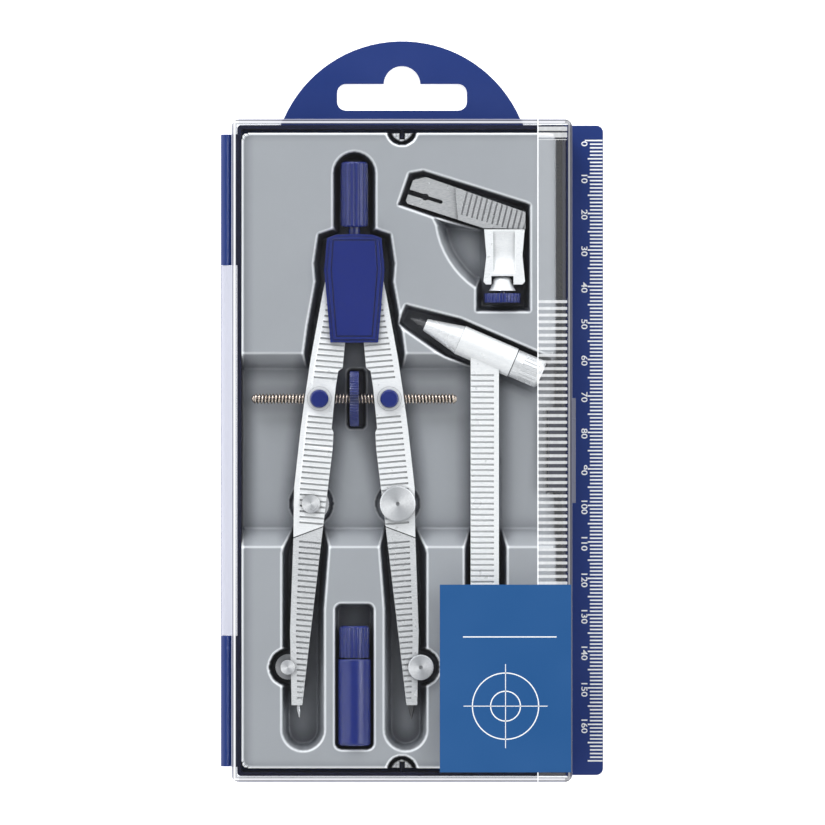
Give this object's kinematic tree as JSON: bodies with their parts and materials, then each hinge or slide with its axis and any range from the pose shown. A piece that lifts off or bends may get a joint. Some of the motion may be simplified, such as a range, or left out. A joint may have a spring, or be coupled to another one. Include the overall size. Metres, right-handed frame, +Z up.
{
  "type": "drafting instrument case",
  "caption": "Flat hinged case with a ruler flange, hang tab and moulded tray holding a centre-wheel compass, extension bar, pen adapter and lead box.",
  "frame": {"origin": "middle of the underside of the base, under the lid's centre", "axes": "+Z up out of the tray, +Y towards the hang tab, +X towards the ruler flange, hinge along Y on the -X side"},
  "size_m": [0.1045, 0.2022, 0.0211],
  "materials": {
    "navy_plastic": "moulded polystyrene, satin gloss",
    "tray_plastic": "thermoformed sheet, satin",
    "clear_plastic": "clear moulded polystyrene, polished",
    "label_print": "printed coated sticker",
    "blue_plastic": "moulded, satin gloss",
    "nickel_plate": "satin nickel plate",
    "bright_steel": "turned, fine brushed",
    "bronze_nickel": "rolled thread, warm nickel",
    "graphite": "graphite lead"
  },
  "bodies": {
    "case": {"base_shell": "navy_plastic", "insert_tray": "tray_plastic", "compass_handle": "blue_plastic", "head_yoke": "bright_steel", "head_pins": "nickel_plate", "head_cover_front": "blue_plastic", "head_cover_back": "blue_plastic", "beam_bar": "nickel_plate", "beam_nose": "nickel_plate", "beam_collet": "bright_steel", "adapter_arm": "nickel_plate", "adapter_frame": "nickel_plate", "lead_box_body": "blue_plastic", "spare_leads": "graphite"},
    "lid": {"lid": "clear_plastic", "lid_label": "label_print"},
    "spindle": {"spindle": "bronze_nickel", "centre_wheel": "blue_plastic"},
    "left_leg": {"left_upper_leg": "nickel_plate", "left_lower_leg": "nickel_plate"},
    "right_leg": {"right_upper_leg": "nickel_plate", "right_lower_leg": "nickel_plate"},
    "left_nut": {"left_nut_block": "nickel_plate", "left_button_spring": "bright_steel"},
    "right_nut": {"right_nut_block": "nickel_plate", "right_button_spring": "bright_steel"},
    "left_button": {"left_button": "blue_plastic"},
    "right_button": {"right_button": "blue_plastic"},
    "left_knee_screw": {"left_knee_screw": "nickel_plate"},
    "right_knee_screw": {"right_knee_screw": "nickel_plate"},
    "left_tip_screw": {"left_tip_screw": "nickel_plate"},
    "right_tip_screw": {"right_tip_screw": "nickel_plate"},
    "needle_point": {"needle_point": "bright_steel"},
    "compass_lead": {"compass_lead": "graphite"},
    "beam_knob": {"beam_knob": "nickel_plate"},
    "beam_lead": {"beam_lead": "graphite"},
    "adapter_knob": {"adapter_knob": "blue_plastic"},
    "adapter_cone": {"adapter_cone": "nickel_plate"},
    "lead_box_cap": {"lead_box_cap": "blue_plastic"}
  },
  "joints": [
    {"name": "lid_hinge", "type": "hinge", "parent": "case", "child": "lid", "pos_m": [-0.0481, 0, 0.0105], "axis": [0, -1, 0], "range_deg": [0, 180]},
    {"name": "wheel_spin", "type": "hinge", "parent": "case", "child": "spindle", "pos_m": [-0.01295, 0.0141, 0.0115], "axis": [1, 0, 0], "range_deg": [-150, 150]},
    {"name": "left_leg_swing", "type": "hinge", "parent": "case", "child": "left_leg", "pos_m": [-0.01665, 0.05, 0.0115], "axis": [0, 0, -1], "range_deg": [-0.47, 0.47]},
    {"name": "right_leg_swing", "type": "hinge", "parent": "case", "child": "right_leg", "pos_m": [-0.00925, 0.05, 0.0115], "axis": [0, 0, 1], "range_deg": [-0.47, 0.47]},
    {"name": "left_nut_swivel", "type": "hinge", "parent": "left_leg", "child": "left_nut", "pos_m": [-0.0225, 0.0141, 0.0115], "axis": [0, 0, 1], "range_deg": [-0.47, 0.47]},
    {"name": "right_nut_swivel", "type": "hinge", "parent": "right_leg", "child": "right_nut", "pos_m": [-0.0034, 0.0141, 0.0115], "axis": [0, 0, -1], "range_deg": [-0.47, 0.47]},
    {"name": "left_button_press", "type": "slide", "parent": "left_nut", "child": "left_button", "axis": [0, 0, -1], "range_m": [0, 0.0006], "stiffness_N_per_m": 500, "deforming": ["left_button_spring"]},
    {"name": "right_button_press", "type": "slide", "parent": "right_nut", "child": "right_button", "axis": [0, 0, -1], "range_m": [0, 0.0006], "stiffness_N_per_m": 500, "deforming": ["right_button_spring"]},
    {"name": "left_knee_screw_turn", "type": "hinge", "parent": "left_leg", "child": "left_knee_screw", "pos_m": [-0.02475, -0.0145, 0.0115], "axis": [0, 0, -1], "range_deg": [0, 270]},
    {"name": "right_knee_screw_turn", "type": "hinge", "parent": "right_leg", "child": "right_knee_screw", "pos_m": [-0.00115, -0.0145, 0.0115], "axis": [0, 0, 1], "range_deg": [0, 270]},
    {"name": "left_tip_screw_turn", "type": "hinge", "parent": "left_leg", "child": "left_tip_screw", "pos_m": [-0.03105, -0.059, 0.0115], "axis": [0, 0, -1], "range_deg": [0, 270]},
    {"name": "right_tip_screw_turn", "type": "hinge", "parent": "right_leg", "child": "right_tip_screw", "pos_m": [0.00515, -0.059, 0.0115], "axis": [0, 0, 1], "range_deg": [0, 270]},
    {"name": "needle_slide", "type": "slide", "parent": "left_leg", "child": "needle_point", "axis": [0.1045, -0.9945, 0], "range_m": [-0.001, 0.002]},
    {"name": "lead_slide", "type": "slide", "parent": "right_leg", "child": "compass_lead", "axis": [-0.0523, -0.9986, 0], "range_m": [-0.001, 0.002]},
    {"name": "beam_knob_turn", "type": "hinge", "parent": "case", "child": "beam_knob", "pos_m": [0.0158, 0.0302, 0.0115], "axis": [0.9178, -0.3971, 0], "range_deg": [0, 270]},
    {"name": "beam_lead_slide", "type": "slide", "parent": "case", "child": "beam_lead", "axis": [-0.9178, 0.3971, 0], "range_m": [0, 0.002]},
    {"name": "adapter_knob_turn", "type": "hinge", "parent": "case", "child": "adapter_knob", "pos_m": [0.02735, 0.041, 0.0115], "axis": [0, -1, 0], "range_deg": [0, 270]},
    {"name": "adapter_cone_slide", "type": "slide", "parent": "case", "child": "adapter_cone", "axis": [0, -1, 0], "range_m": [0, 0.0006]},
    {"name": "lead_box_cap_pull", "type": "slide", "parent": "case", "child": "lead_box_cap", "axis": [0, 1, 0], "range_m": [0, 0.005]}
  ],
  "couplings": [
    {"joint": "left_leg_swing", "follows": "wheel_spin", "ratio": 0.0031033},
    {"joint": "right_leg_swing", "follows": "wheel_spin", "ratio": 0.0031033},
    {"joint": "left_nut_swivel", "follows": "wheel_spin", "ratio": 0.0031033},
    {"joint": "right_nut_swivel", "follows": "wheel_spin", "ratio": 0.0031033}
  ]
}
